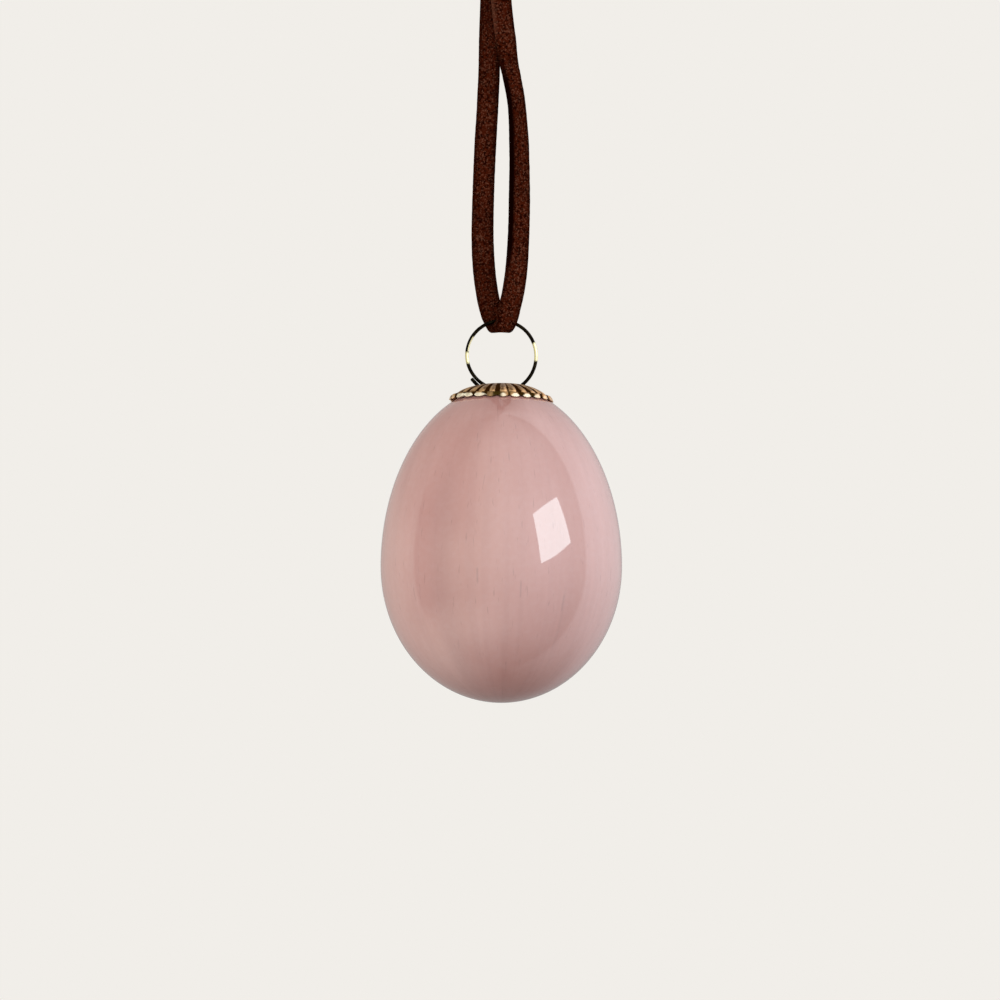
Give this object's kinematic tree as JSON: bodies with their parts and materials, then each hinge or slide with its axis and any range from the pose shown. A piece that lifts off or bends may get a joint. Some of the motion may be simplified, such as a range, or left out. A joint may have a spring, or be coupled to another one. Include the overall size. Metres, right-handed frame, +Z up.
{
  "type": "easter egg ornament",
  "caption": "Glossy rose glass egg, narrow end up, under a fluted brass cap, on a wire ring and a knotted suede lace loop. The egg tips on the ring and the ring turns in the lace.",
  "frame": {"origin": "the hanging point: just under the knot, between the two strands of the lace, straight above the egg's axis", "axes": "+Z up along the egg's axis when it hangs, +X to the right in the front view, +Y away from the front, square to the ring"},
  "size_m": [0.045, 0.045, 0.1593],
  "materials": {
    "blown_glass": "clear blown glass, wholly covered by the lacquer",
    "rose_lacquer": "high gloss, dusty rose, faintly streaked",
    "antique_brass": "stamped and polished on the ridges, dark patina in the grooves",
    "plaster": "matt",
    "brass_wire": "drawn wire, tarnished",
    "brown_suede": "matt suede nap"
  },
  "bodies": {
    "lace": {"suede_lace": "brown_suede", "lace_knot": "brown_suede"},
    "ring": {"hanging_ring": "brass_wire"},
    "egg": {"glass_shell": "blown_glass", "rose_lacquer": "rose_lacquer", "crown_cap": "antique_brass", "cap_cement": "plaster"}
  },
  "joints": [
    {"name": "ring_turn", "type": "hinge", "parent": "lace", "child": "ring", "pos_m": [0, 0, -0.07405], "axis": [0, 1, 0], "range_deg": [-100, 100]},
    {"name": "egg_swing", "type": "hinge", "parent": "ring", "child": "egg", "pos_m": [0, 0, -0.08039], "axis": [1, 0, 0], "range_deg": [-40, 40]}
  ]
}
